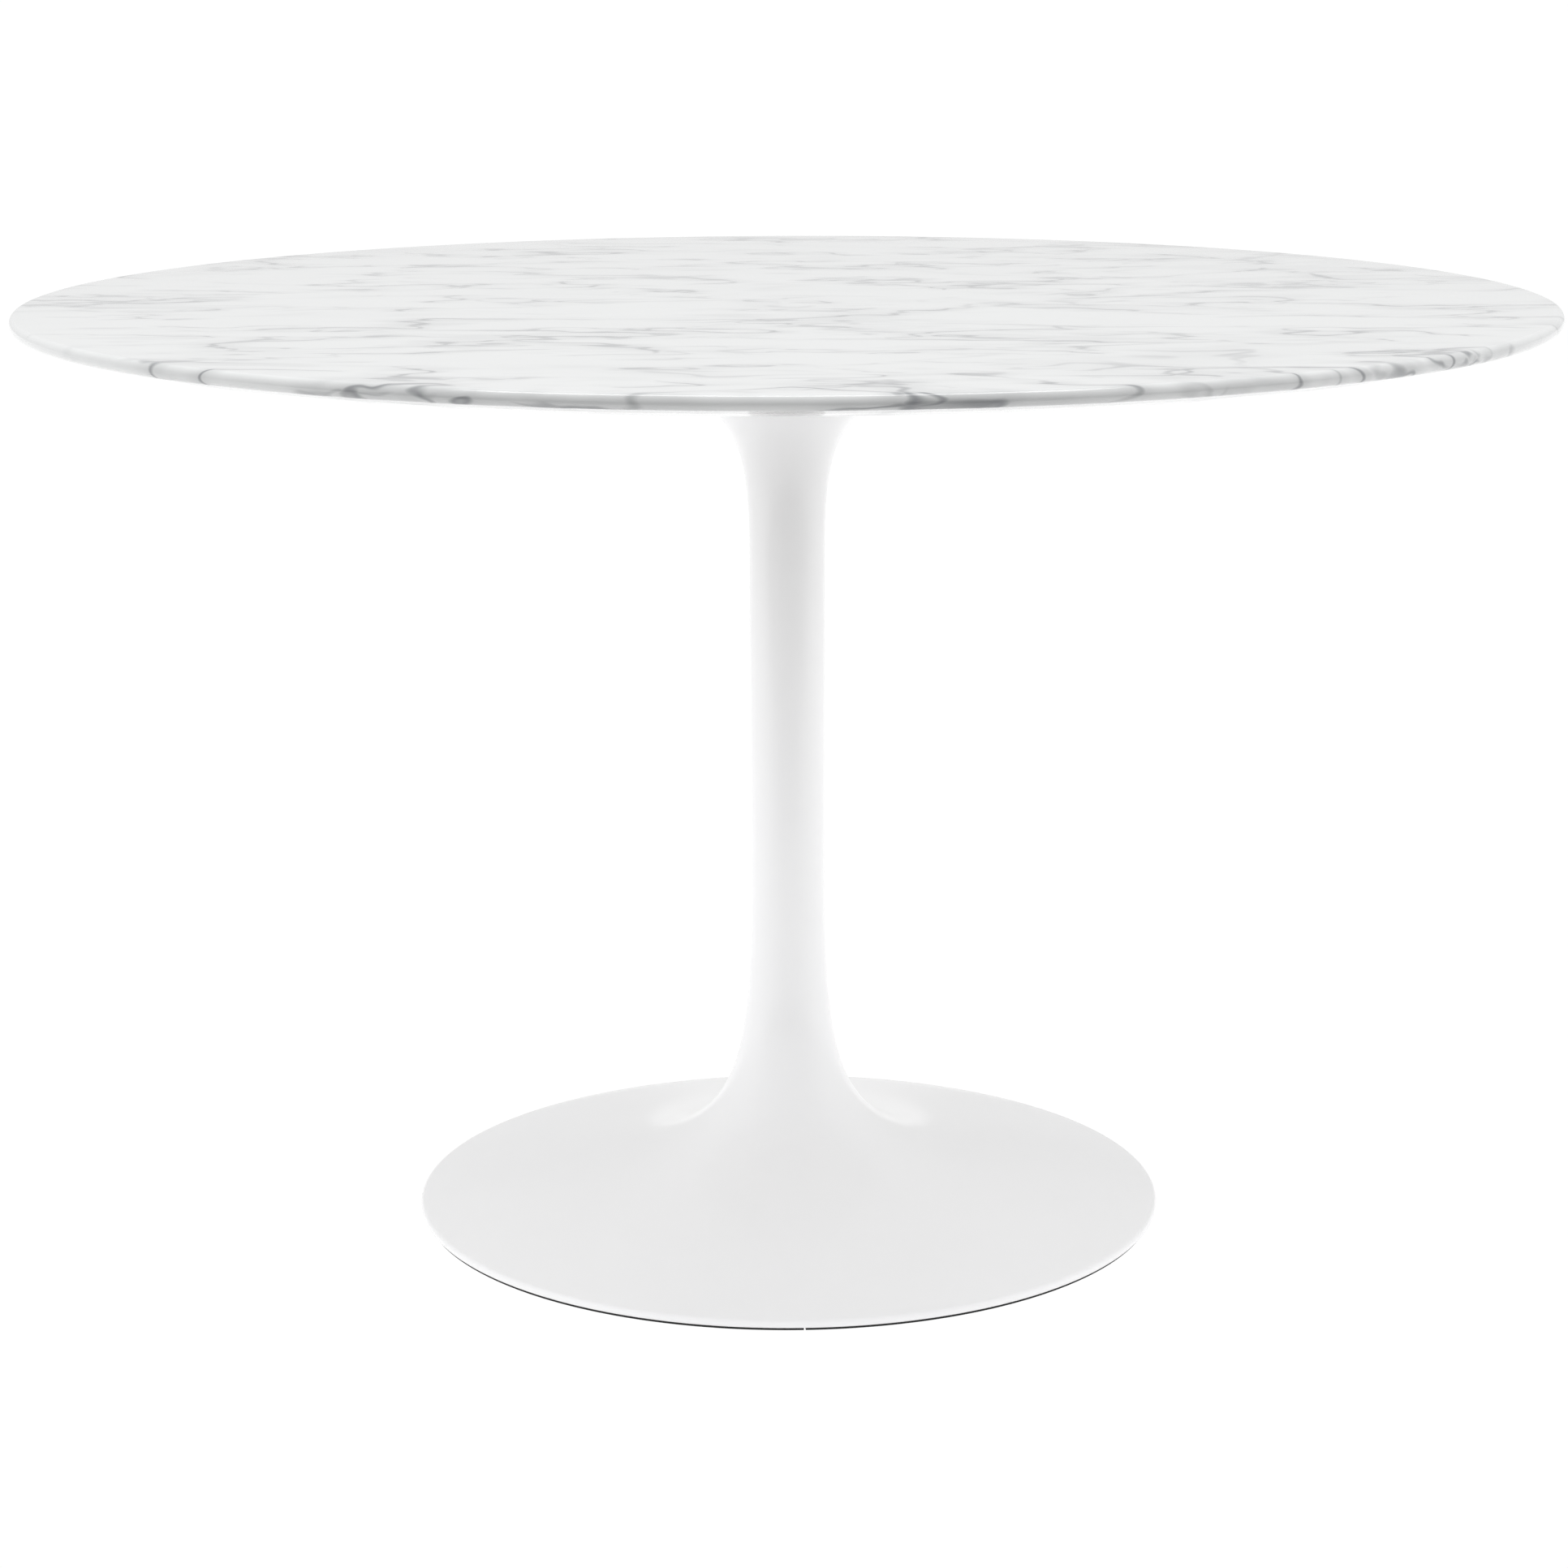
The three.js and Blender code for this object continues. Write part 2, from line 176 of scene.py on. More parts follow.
def makeTurningTree():
    tree, given = startTree(
        "turning", Segments=("Int", 96), Pitch=("Float", 1 * mm), Depth=("Float", 0.6 * mm),
        Material=("Material", None),
    )
    rows = addNode(tree, "GeometryNodeAttributeDomainSize", {0: given["Geometry"]})[0]
    columns = addNode(tree, "ShaderNodeMath", {0: given["Segments"], 1: 1})[0]
    grid = addNode(tree, "GeometryNodeMeshGrid", {"Vertices X": columns, "Vertices Y": rows})[0]
    index = addNode(tree, "GeometryNodeInputIndex")[0]
    column = addNode(tree, "FunctionNodeIntegerMath", {0: index, 1: rows}, operation="DIVIDE_FLOOR")[0]
    row = addNode(tree, "FunctionNodeIntegerMath", {0: index, 1: rows}, operation="MODULO")[0]
    share = addNode(tree, "ShaderNodeMath", {0: column, 1: given["Segments"]}, operation="DIVIDE")[0]
    position = addNode(tree, "GeometryNodeInputPosition")[0]
    weight = addNode(tree, "GeometryNodeInputNamedAttribute", {"Name": "thread"}, data_type="FLOAT")[0]
    point = addNode(
        tree, "GeometryNodeSampleIndex", {"Geometry": given["Geometry"], "Value": position, "Index": row},
        data_type="FLOAT_VECTOR",
    )[0]
    threaded = addNode(
        tree, "GeometryNodeSampleIndex", {"Geometry": given["Geometry"], "Value": weight, "Index": row},
        data_type="FLOAT",
    )[0]
    parts = addNode(tree, "ShaderNodeSeparateXYZ", {0: point})
    turns = addNode(tree, "ShaderNodeMath", {0: parts["Z"], 1: given["Pitch"]}, operation="DIVIDE")[0]
    along = addNode(tree, "ShaderNodeMath", {0: turns, 1: share}, operation="SUBTRACT")[0]
    wave = addNode(tree, "ShaderNodeMath", {0: along, 1: 0.5}, operation="PINGPONG")[0]
    flank = addNode(
        tree, "ShaderNodeMapRange",
        {"Value": wave, "From Min": threadForm["crest"], "From Max": threadForm["root"]},
    )[0]
    deep = addNode(tree, "ShaderNodeMath", {0: flank, 1: given["Depth"]}, operation="MULTIPLY")[0]
    sunk = addNode(tree, "ShaderNodeMath", {0: deep, 1: threaded}, operation="MULTIPLY")[0]
    radius = addNode(tree, "ShaderNodeMath", {0: parts["X"], 1: sunk}, operation="SUBTRACT")[0]
    angle = addNode(tree, "ShaderNodeMath", {0: share, 1: 2 * math.pi}, operation="MULTIPLY")[0]
    outwards = addNode(tree, "ShaderNodeCombineXYZ", {"X": radius, "Z": parts["Z"]})[0]
    spun = addNode(
        tree, "ShaderNodeVectorRotate", {"Vector": outwards, "Angle": angle}, rotation_type="Z_AXIS",
    )[0]
    bent = addNode(tree, "GeometryNodeSetPosition", {"Geometry": grid, "Position": spun})[0]
    closed = addNode(tree, "GeometryNodeMergeByDistance", {"Geometry": bent, "Distance": 0.002 * mm})[0]
    return endTree(tree, closed, given["Material"])


turningTree = makeTurningTree()


def turned(name, profile, material, segments=96, pitch=1 * mm, depth=0.6 * mm):
    mesh = bpy.data.meshes.new(name)
    mesh.from_pydata([(point[0], 0, point[1]) for point in profile], [], [])
    weights = mesh.attributes.new("thread", "FLOAT", "POINT")
    weights.data.foreach_set("value", [point[2] if len(point) > 2 else 0 for point in profile])
    return grow(name, mesh, turningTree, Segments=segments, Pitch=pitch, Depth=depth, Material=material)


def thread(radius, start, end, pitch, share=1, inwards=False):
    # Rows of a threaded length, fading out over one pitch at each end. A bore is threaded the other way.
    count = max(2, round(abs(end - start) / pitch * threadForm["rowsPerTurn"]))
    rows = []
    for i in range(count + 1):
        height = start + (end - start) * i / count
        fade = min(1, abs(height - start) / pitch, abs(height - end) / pitch)
        rows.append((radius, height, share * fade * (-1 if inwards else 1)))
    return rows


# Rings: copies of one part set round a circle, each spun by its own amount

def makeRingTree():
    tree, given = startTree(
        "ring", Count=("Int", 6), Circle=("Float", 0.1), Height=("Float", 0), First=("Float", 0),
        Spin=("Float", 0), Seed=("Int", 1), Material=("Material", None),
    )
    index = addNode(tree, "GeometryNodeInputIndex")[0]
    step = addNode(tree, "ShaderNodeMath", {0: 2 * math.pi, 1: given["Count"]}, operation="DIVIDE")[0]
    angle = addNode(
        tree, "ShaderNodeMath", {0: index, 1: step, 2: given["First"]}, operation="MULTIPLY_ADD",
    )[0]
    start = addNode(tree, "ShaderNodeCombineXYZ", {"X": given["Circle"], "Z": given["Height"]})[0]
    spot = addNode(
        tree, "ShaderNodeVectorRotate", {"Vector": start, "Angle": angle}, rotation_type="Z_AXIS",
    )[0]
    points = addNode(tree, "GeometryNodePoints", {"Count": given["Count"], "Position": spot})[0]
    spin = addNode(
        tree, "FunctionNodeRandomValue", {"Max": given["Spin"], "Seed": given["Seed"]}, data_type="FLOAT",
    )
    turn = addNode(tree, "ShaderNodeCombineXYZ", {"Z": spin["Value"]})[0]
    copies = addNode(
        tree, "GeometryNodeInstanceOnPoints",
        {"Points": points, "Instance": given["Geometry"], "Rotation": turn},
    )[0]
    return endTree(tree, copies, given["Material"])


ringTree = makeRingTree()


def ringOf(name, part, count, circle, height, material, spin=0, seed=1):
    # The first copy stands half a step away from the front, as the CAD's does
    first = -math.pi / 2 + math.pi / count
    mesh = part.data
    bpy.data.objects.remove(part)
    return grow(
        name, mesh, ringTree, Count=count, Circle=circle, Height=height, First=first, Spin=spin, Seed=seed,
        Material=material,
    )


def holesOf(count, circle, radius, low, high):  # round bars for cutting holes or joining bosses
    bar = turned("bar", [(0, low), (radius, low), (radius, high), (0, high)], glossLacquer, 48)
    return ringOf("bars", bar, count, circle, 0, glossLacquer)


def prism(acrossFlats, low, high):  # a hexagon bar, a corner towards +X
    corner = acrossFlats / 2 / math.cos(math.pi / 6)
    return turned("prism", [(0, low), (corner, low), (corner, high), (0, high)], glossLacquer, 6)


# Sweeps: a strip of rounded section that follows part of a circle, with closed ends

def makeStripTree():
    tree, given = startTree(
        "strip", Radius=("Float", 0.3), Start=("Float", 0), Sweep=("Float", 6), Width=("Float", 12 * mm),
        Thickness=("Float", 2 * mm), Edge=("Float", 0.3 * mm), Steps=("Int", 256), Corner=("Int", 3),
        Material=("Material", None),
    )
    path = addNode(
        tree, "GeometryNodeCurveArc",
        {"Resolution": given["Steps"], "Radius": given["Radius"], "Start Angle": given["Start"],
         "Sweep Angle": given["Sweep"]}, mode="RADIUS",
    )[0]
    box = addNode(
        tree, "GeometryNodeCurvePrimitiveQuadrilateral",
        {"Width": given["Width"], "Height": given["Thickness"]}, mode="RECTANGLE",
    )[0]
    section = addNode(
        tree, "GeometryNodeFilletCurve",
        {"Curve": box, "Radius": given["Edge"], "Limit Radius": True, "Count": given["Corner"]}, mode="POLY",
    )[0]
    swept = addNode(
        tree, "GeometryNodeCurveToMesh", {"Curve": path, "Profile Curve": section, "Fill Caps": True},
    )[0]
    return endTree(tree, swept, given["Material"])


# Materials

marbleLook = {
    "ground": "#d2d3d3", "vein": "#76787b", "haloShare": 0.3, "patchBreaks": 0.45,
    "buffing": 25, "glossSpread": 0.3, "seedStep": 0.37, "seedLean": (1, 1.3, 0.7),
    # Each layer is a set of veins. grain, bend and patch are sizes in millimetres: how far the veins stand
    # apart, how far they wander and how far they last. lean is their slant in degrees, and stretch draws them
    # out along it. line and halo are the widths of their dark core and soft edge, and from and to say how much
    # of the stone they cover.
    "layers": [
        {"grain": 210, "stretch": 0.55, "lean": 34, "bend": 80, "line": 0.014, "halo": 0.06, "patch": 150,
         "from": 0.5, "to": 0.6, "strength": 0.6, "seed": 8},
        {"grain": 110, "stretch": 0.42, "lean": 20, "bend": 60, "line": 0.02, "halo": 0.08, "patch": 90,
         "from": 0.48, "to": 0.61, "strength": 0.85, "seed": 61},
        {"grain": 60, "stretch": 0.4, "lean": 26, "bend": 38, "line": 0.03, "halo": 0.11, "patch": 75,
         "from": 0.47, "to": 0.6, "strength": 0.8, "seed": 72},
        {"grain": 75, "stretch": 0.36, "lean": 8, "bend": 30, "line": 0.025, "halo": 0.1, "patch": 85,
         "from": 0.5, "to": 0.6, "strength": 0.8, "seed": 52},
        {"grain": 140, "stretch": 0.45, "lean": 10, "bend": 70, "line": 0.05, "halo": 0.3, "patch": 120,
         "from": 0.45, "to": 0.72, "strength": 0.2, "seed": 41},
    ],
}


def makeMarble(name, roughness):
    # Artificial marble, cast in a block, then sawn and polished: a cool white ground under short soft grey
    # veins that go through the whole thickness and so run on over the edge, with an even deep gloss.
    material, tree, shader, place = startMaterial(name, Roughness=roughness, IOR=1.5)
    total = None
    for layer in marbleLook["layers"]:
        shift = layer["seed"] * marbleLook["seedStep"]
        laid = addNode(
            tree, "ShaderNodeMapping",
            {"Vector": place, "Location": [shift * lean for lean in marbleLook["seedLean"]],
             "Rotation": (0, 0, math.radians(layer["lean"])), "Scale": (layer["stretch"], 1, 1)},
        )[0]
        swirl = addNode(
            tree, "ShaderNodeTexNoise",
            {"Vector": laid, "Scale": 1 / (layer["bend"] * 2 * mm), "Detail": 3},
        )["Color"]
        push = layer["bend"] * mm
        pushed = addNode(
            tree, "ShaderNodeVectorMath", {0: swirl, 1: (push, push, push), 2: laid},
            operation="MULTIPLY_ADD",
        )[0]
        field = addNode(
            tree, "ShaderNodeTexNoise",
            {"Vector": pushed, "Scale": 1 / (layer["grain"] * mm), "Detail": 3, "Roughness": 0.5},
        )[0]
        signed = addNode(tree, "ShaderNodeMath", {0: field, 1: 0.5}, operation="SUBTRACT")[0]
        away = addNode(tree, "ShaderNodeMath", {0: signed}, operation="ABSOLUTE")[0]
        widths = [
            addNode(
                tree, "ShaderNodeMapRange",
                {"Value": away, "From Max": width, "To Min": share, "To Max": 0},
                interpolation_type="SMOOTHSTEP",
            )[0] for width, share in ((layer["line"], 1), (layer["halo"], marbleLook["haloShare"]))
        ]
        line = addNode(tree, "ShaderNodeMath", {0: widths[0], 1: widths[1]}, operation="MAXIMUM")[0]
        patches = addNode(
            tree, "ShaderNodeTexNoise",
            {"Vector": pushed, "Scale": 1 / (layer["patch"] * mm), "Detail": 2,
             "Roughness": marbleLook["patchBreaks"]},
        )["Color"]
        patch = addNode(
            tree, "ShaderNodeMapRange",
            {"Value": patches, "From Min": layer["from"], "From Max": layer["to"],
             "To Max": layer["strength"]}, interpolation_type="SMOOTHSTEP",
        )[0]
        shown = addNode(tree, "ShaderNodeMath", {0: line, 1: patch}, operation="MULTIPLY")[0]
        total = shown if total is None else addNode(
            tree, "ShaderNodeMath", {0: total, 1: shown}, operation="MAXIMUM",
        )[0]
    colour = addNode(
        tree, "ShaderNodeMix", {0: total, 6: linear(marbleLook["ground"]), 7: linear(marbleLook["vein"])},
        data_type="RGBA",
    )[2]
    tree.links.new(colour, shader["Base Color"])
    buffing = addNode(
        tree, "ShaderNodeTexNoise",
        {"Vector": place, "Scale": 1 / (marbleLook["buffing"] * mm), "Detail": 3},
    )[0]
    spread = marbleLook["glossSpread"]
    gloss = addNode(
        tree, "ShaderNodeMapRange",
        {"Value": buffing, "To Min": roughness * (1 - spread), "To Max": roughness * (1 + spread)},
    )[0]
    tree.links.new(gloss, shader["Roughness"])
    return material


lacquerLook = {  # cloud and peel are pattern sizes in millimetres
    "colours": ("#ededee", "#f0f0f1"), "coat": 0.4, "coatRoughness": 0.1, "roughness": (0.32, 0.4),
    "cloud": 120, "peel": 3, "peelBump": 0.03,
}


def makeLacquer():
    # Gloss lacquer sprayed in several coats on a fettled aluminium casting: clean white under a clear,
    # wet-looking surface, with a faint orange peel that softens what it reflects.
    look = lacquerLook
    material, tree, shader, place = startMaterial(
        "glossLacquer", **{"IOR": 1.5, "Coat Weight": look["coat"], "Coat Roughness": look["coatRoughness"]},
    )
    film = addNode(
        tree, "ShaderNodeTexNoise", {"Vector": place, "Scale": 1 / (look["cloud"] * mm), "Detail": 2},
    )[0]
    low, high = [linear(colour) for colour in look["colours"]]
    colour = addNode(tree, "ShaderNodeMix", {0: film, 6: low, 7: high}, data_type="RGBA")[2]
    low, high = look["roughness"]
    gloss = addNode(tree, "ShaderNodeMapRange", {"Value": film, "To Min": low, "To Max": high})[0]
    peel = addNode(
        tree, "ShaderNodeTexNoise", {"Vector": place, "Scale": 1 / (look["peel"] * mm), "Detail": 1},
    )[0]
    bump = addNode(
        tree, "ShaderNodeBump",
        {"Height": peel, "Strength": look["peelBump"], "Distance": look["peel"] * 0.1 * mm},
    )[0]
    for key, socket in (("Base Color", colour), ("Roughness", gloss), ("Normal", bump)):
        tree.links.new(socket, shader[key])
    return material


# The ranges of noise over which a finish goes from its first colour and gloss to its second, and the depth of
# its bumps as a share of the grain
finishForm = {"shade": (0.12, 0.4), "gloss": (0.3, 0.7), "depth": 0.3}


def makeFinish(name, colours, grain, roughness, bump, metallic=0, blotch=8):
    # A fine grain gives the surface its texture and sparkle, and wider blotches shade its colour and gloss.
    # Both are sizes in millimetres.
    material, tree, shader, place = startMaterial(name, Metallic=metallic)
    fine = addNode(
        tree, "ShaderNodeTexNoise", {"Vector": place, "Scale": 1 / (grain * mm), "Detail": 4},
    )[0]
    wide = addNode(
        tree, "ShaderNodeTexNoise", {"Vector": place, "Scale": 1 / (blotch * mm), "Detail": 3},
    )[0]
    both = addNode(tree, "ShaderNodeMath", {0: fine, 1: wide}, operation="MULTIPLY")[0]
    start, end = finishForm["shade"]
    shade = addNode(tree, "ShaderNodeMapRange", {"Value": both, "From Min": start, "From Max": end})[0]
    low, high = [linear(colour) for colour in colours]
    colour = addNode(tree, "ShaderNodeMix", {0: shade, 6: low, 7: high}, data_type="RGBA")[2]
    start, end = finishForm["gloss"]
    gloss = addNode(
        tree, "ShaderNodeMapRange",
        {"Value": wide, "From Min": start, "From Max": end, "To Min": roughness[0], "To Max": roughness[1]},
    )[0]
    height = addNode(
        tree, "ShaderNodeBump",
        {"Height": fine, "Strength": bump, "Distance": grain * finishForm["depth"] * mm},
    )[0]
    for key, socket in (("Base Color", colour), ("Roughness", gloss), ("Normal", height)):
        tree.links.new(socket, shader[key])
    return material


polishedMarble = makeMarble("polishedMarble", roughness=0.09)
sawnMarble = makeMarble("sawnMarble", roughness=0.6)  # the underside is only sawn and ground, so it's dull
glossLacquer = makeLacquer()
# Medium density fibreboard, sealed and rolled with white paint: warm white with a soft stipple
rolledPaintBoard = makeFinish(
    "rolledPaintFibreboard", ("#d5d3ce", "#e2e0dc"), grain=3, roughness=(0.5, 0.65), bump=0.25,
)
# Epoxy powder baked on steel: even black with fine bumps that catch the light
bakedPowderCoat = makeFinish(
    "bakedPowderCoat", ("#18191a", "#26272a"), grain=1.2, roughness=(0.4, 0.55), bump=0.5,
)
# Bright zinc plating on steel: cool grey with a patchy sheen
zincPlating = makeFinish(
    "zincPlatedSteel", ("#a3a8ad", "#c9cccd"), grain=0.8, roughness=(0.22, 0.42), bump=0.15, metallic=1,
    blotch=3,
)
# Turned brass: warm yellow, dulled in places
turnedBrass = makeFinish(
    "turnedBrass", ("#a98443", "#cfb06c"), grain=0.7, roughness=(0.22, 0.4), bump=0.2, metallic=1, blotch=3,
)
# Grey iron as it came from the sand mould: dark, dull and grainy
sandCastIron = makeFinish(
    "sandCastIron", ("#2a2928", "#4a4744"), grain=1.6, roughness=(0.7, 0.9), bump=1, metallic=0.4, blotch=14,
)
# Black polystyrene sheet with a rolled-in matt grain
grainedSheet = makeFinish(
    "grainedPolystyrene", ("#131314", "#1f1f21"), grain=1, roughness=(0.5, 0.62), bump=0.5,
)
# Solid rubber strip: deep black and quite matt, slightly dusty
cutRubber = makeFinish("cutRubber", ("#0e0e0e", "#1b1b1b"), grain=1.4, roughness=(0.7, 0.85), bump=0.4)
print("materials made")


# Marble slab

slab = {
    "noseRadius": 5.6 * mm, "bevelRun": 28 * mm, "arris": 0.5 * mm, "noseSteps": 24, "segments": 288,
    "sharpAngle": 11, "rings": (0.5, 0.3, 0.1, 0),  # radii of the rings of faces inside the edge, in metres
}


def makeSlab():
    low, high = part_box("marble_top")
    noseCentre = (high.x - slab["noseRadius"], high.z - slab["noseRadius"])
    nose = arc(noseCentre, slab["noseRadius"], -90, 90, slab["noseSteps"])
    bevelEnd, arris = noseCentre[0] - slab["bevelRun"], slab["arris"]
    corner = eased([(0, low.z), (bevelEnd, low.z), nose[0]], arris, 3, closed=False)[1:-1]
    under = [(radius, low.z) for radius in slab["rings"][::-1]]
    top = [(radius, high.z) for radius in slab["rings"]]
    piece = turned("marbleSlab", under + corner + nose + top, polishedMarble, slab["segments"])
    piece.data.set_sharp_from_angle(angle=math.radians(slab["sharpAngle"]))
    piece.data.materials.append(sawnMarble)
    for face in piece.data.polygons:
        if face.normal.z < -0.99:  # the flat underside, not the bevel
            face.material_index = 1
    stand(piece, "marble", "marble_top")


makeSlab()
print("slab made")


# Backing board, its inserts, the steel plate and what fastens it

board = {"edge": 1.2 * mm, "nutRoom": 4 * mm}
insert = {
    "count": 8, "radius": 4.75 * mm, "gap": 0.3 * mm, "bore": 3.2 * mm, "mouth": 0.4 * mm, "edge": 0.3 * mm,
    "grooves": 3, "grooveTop": 0.9 * mm, "grooveFloor": 0.5 * mm, "grooveDepth": 0.5 * mm,
    "threadEnd": 0.5 * mm, "threadDepth": 0.35 * mm, "segments": 32,
}
plate = {
    "edge": 0.6 * mm, "screwInset": 19 * mm, "rodHole": 6.5 * mm, "pinHole": 4.25 * mm,
    "screwHole": 3.55 * mm, "pinCircle": 60 * mm, "pinRadius": 4 * mm, "pinEdge": 0.6 * mm,
}
nut = {
    "acrossFlats": 19 * mm, "bore": 6.15 * mm, "chamfer": 30, "face": 0.97, "mouth": 0.5 * mm,
    "blankOver": 0.1 * mm, "threadEnd": 0.6 * mm, "pitch": 1.75 * mm, "threadDepth": 0.4 * mm, "segments": 48,
}
plateScrew = {
    "radius": 2.95 * mm, "head": 5.25 * mm, "headHeight": 3.3 * mm, "socket": 4 * mm, "socketDepth": 2 * mm,
    "pitch": 1 * mm, "threadDepth": 0.55 * mm, "plain": 2.5 * mm, "washer": 6.2 * mm,
    "washerEdge": 0.25 * mm,
}
buttonHead = {  # shares of the head's radius and height, and for the neck and tip of the shank's radius
    "flat": 0.5, "shoulder": (0.85, 0.96), "side": 0.7, "brim": 0.28, "seatHeight": 0.06, "seat": 0.97,
    "neck": 1.1, "neckLength": 0.12, "tip": 0.72, "tipLength": 0.3, "steps": 10,
}


def disc(name, radius, low, high, edge, material, segments=192, bore=0):
    corners = [(bore, low), (radius, low), (radius, high), (bore, high)]
    if bore:
        return turned(name, eased(corners, edge), material, segments)
    return turned(name, eased(corners, edge, 3, closed=False), material, segments)


def buttonScrew(name, look, length, material, segments=32):
    # Head down, seat at zero, shank up: a domed head with a hexagon socket, a plain neck and a rolled thread
    head, height, radius, pitch = look["head"], look["headHeight"], look["radius"], look["pitch"]
    form, (out, up) = buttonHead, buttonHead["shoulder"]
    dome = bezier(
        (head * form["flat"], -height), (head * out, -height * up), (head, -height * form["side"]),
        (head, -height * form["brim"]), form["steps"],
    )
    rows = thread(radius, look["plain"], length - radius * form["tipLength"], pitch)
    profile = [(0, -height)] + dome + [(head, -height * form["seatHeight"]), (head * form["seat"], 0)]
    profile += [(radius * form["neck"], 0), (radius, radius * form["neckLength"])] + rows
    profile += [(radius * form["tip"], length), (0, length)]
    piece = turned(name, profile, material, segments, pitch, look["threadDepth"])
    socket = prism(look["socket"], -height - toolOver, -height + look["socketDepth"])
    return cut(piece, "DIFFERENCE", socket)


def hexNut(name, low, high):  # a chamfered round blank with a threaded bore, then cut to a hexagon
    bore, mouth, end = nut["bore"], nut["mouth"], nut["threadEnd"]
    corner = nut["acrossFlats"] / 2 / math.cos(math.pi / 6)
    face = nut["acrossFlats"] / 2 * nut["face"]
    drop = (corner - face) * math.tan(math.radians(nut["chamfer"]))
    blank, lead = corner + nut["blankOver"], bore + mouth
    profile = [(lead, low), (face, low), (blank, low + drop), (blank, high - drop)]
    profile += [(face, high), (lead, high), (bore, high - mouth)]
    profile += thread(bore, high - end, low + end, nut["pitch"], inwards=True)
    profile += [(bore, low + mouth), (lead, low)]
    piece = turned(name, profile, zincPlating, nut["segments"], nut["pitch"], nut["threadDepth"])
    return cut(piece, "INTERSECT", prism(nut["acrossFlats"], low - toolOver, high + toolOver))


def makeInsert(long):  # a threaded barrel with keying grooves round its outside
    look, bore, outer = insert, insert["bore"], insert["radius"]
    lead, edge, pitch = bore + look["mouth"], look["edge"], plateScrew["pitch"]
    floor, top, bottom = outer - look["grooveDepth"], look["grooveTop"], look["grooveFloor"]
    profile = [(lead, 0), (outer - edge, 0), (outer, edge)]
    for i in range(1, look["grooves"] + 1):
        middle = long * i / (look["grooves"] + 1)
        profile += [(outer, middle - top), (floor, middle - bottom)]
        profile += [(floor, middle + bottom), (outer, middle + top)]
    profile += [(outer, long - edge), (outer - edge, long), (lead, long), (bore, long - look["mouth"])]
    profile += thread(bore, long - look["threadEnd"], look["threadEnd"], pitch, inwards=True)
    profile += [(bore, look["mouth"]), (lead, 0)]
    return turned("insert", profile, turnedBrass, look["segments"], pitch, look["threadDepth"])


def makeTopFixings():
    low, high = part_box("backing_board")
    plateLow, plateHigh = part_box("mounting_plate")
    circle, count = plateHigh.x - plate["screwInset"], insert["count"]
    nutCorner = nut["acrossFlats"] / 2 / math.cos(math.pi / 6)
    boardPiece = disc("backingBoard", high.x, low.z, high.z, board["edge"], rolledPaintBoard)
    span = (low.z - toolOver, high.z + toolOver)
    cut(
        boardPiece, "DIFFERENCE", holesOf(1, 0, nutCorner + board["nutRoom"], *span),
        holesOf(count, circle, insert["radius"] + insert["gap"], *span),
    )
    stand(boardPiece, "board", "backing_board")
    insertLow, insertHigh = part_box("threaded_insert_1")
    barrel = makeInsert(insertHigh.z - insertLow.z)
    inserts = ringOf("threadedInserts", barrel, count, circle, insertLow.z, turnedBrass)
    stand(inserts, "brass", *numbered("threaded_insert", count))

    platePiece = disc("mountingPlate", plateHigh.x, plateLow.z, plateHigh.z, plate["edge"], bakedPowderCoat)
    span = (plateLow.z - toolOver, plateHigh.z + toolOver)
    cut(
        platePiece, "DIFFERENCE", holesOf(1, 0, plate["rodHole"], *span),
        holesOf(2, plate["pinCircle"], plate["pinHole"], *span),
        holesOf(count, circle, plate["screwHole"], *span),
    )
    stand(platePiece, "plate", "mounting_plate")

    washerLow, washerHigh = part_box("plate_washer_1")
    washer = disc(
        "washer", plateScrew["washer"], 0, washerHigh.z - washerLow.z, plateScrew["washerEdge"], zincPlating,
        segments=48, bore=plate["screwHole"],
    )
    washers = ringOf("plateWashers", washer, count, circle, washerLow.z, zincPlating)
    stand(washers, "zinc", *numbered("plate_washer", count))
    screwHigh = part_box("plate_screw_1")[1]
    screw = buttonScrew("screw", plateScrew, screwHigh.z - washerLow.z, zincPlating)
    screws = ringOf(
        "plateScrews", screw, count, circle, washerLow.z, zincPlating, spin=2 * math.pi, seed=5,
    )
    stand(screws, "zinc", *numbered("plate_screw", count))

    pinLow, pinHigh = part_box("locating_pin_1")
    pin = disc(
        "pin", plate["pinRadius"], 0, pinHigh.z - pinLow.z, plate["pinEdge"], zincPlating, segments=40,
    )
    pins = ringOf("locatingPins", pin, 2, plate["pinCircle"], pinLow.z, zincPlating)
    stand(pins, "zinc", *numbered("locating_pin", 2))
    nutLow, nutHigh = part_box("weld_nut")
    stand(hexNut("weldNut", nutLow.z, nutHigh.z), "zinc", "weld_nut")


makeTopFixings()
print("board, plate and their screws made")


# Pedestal

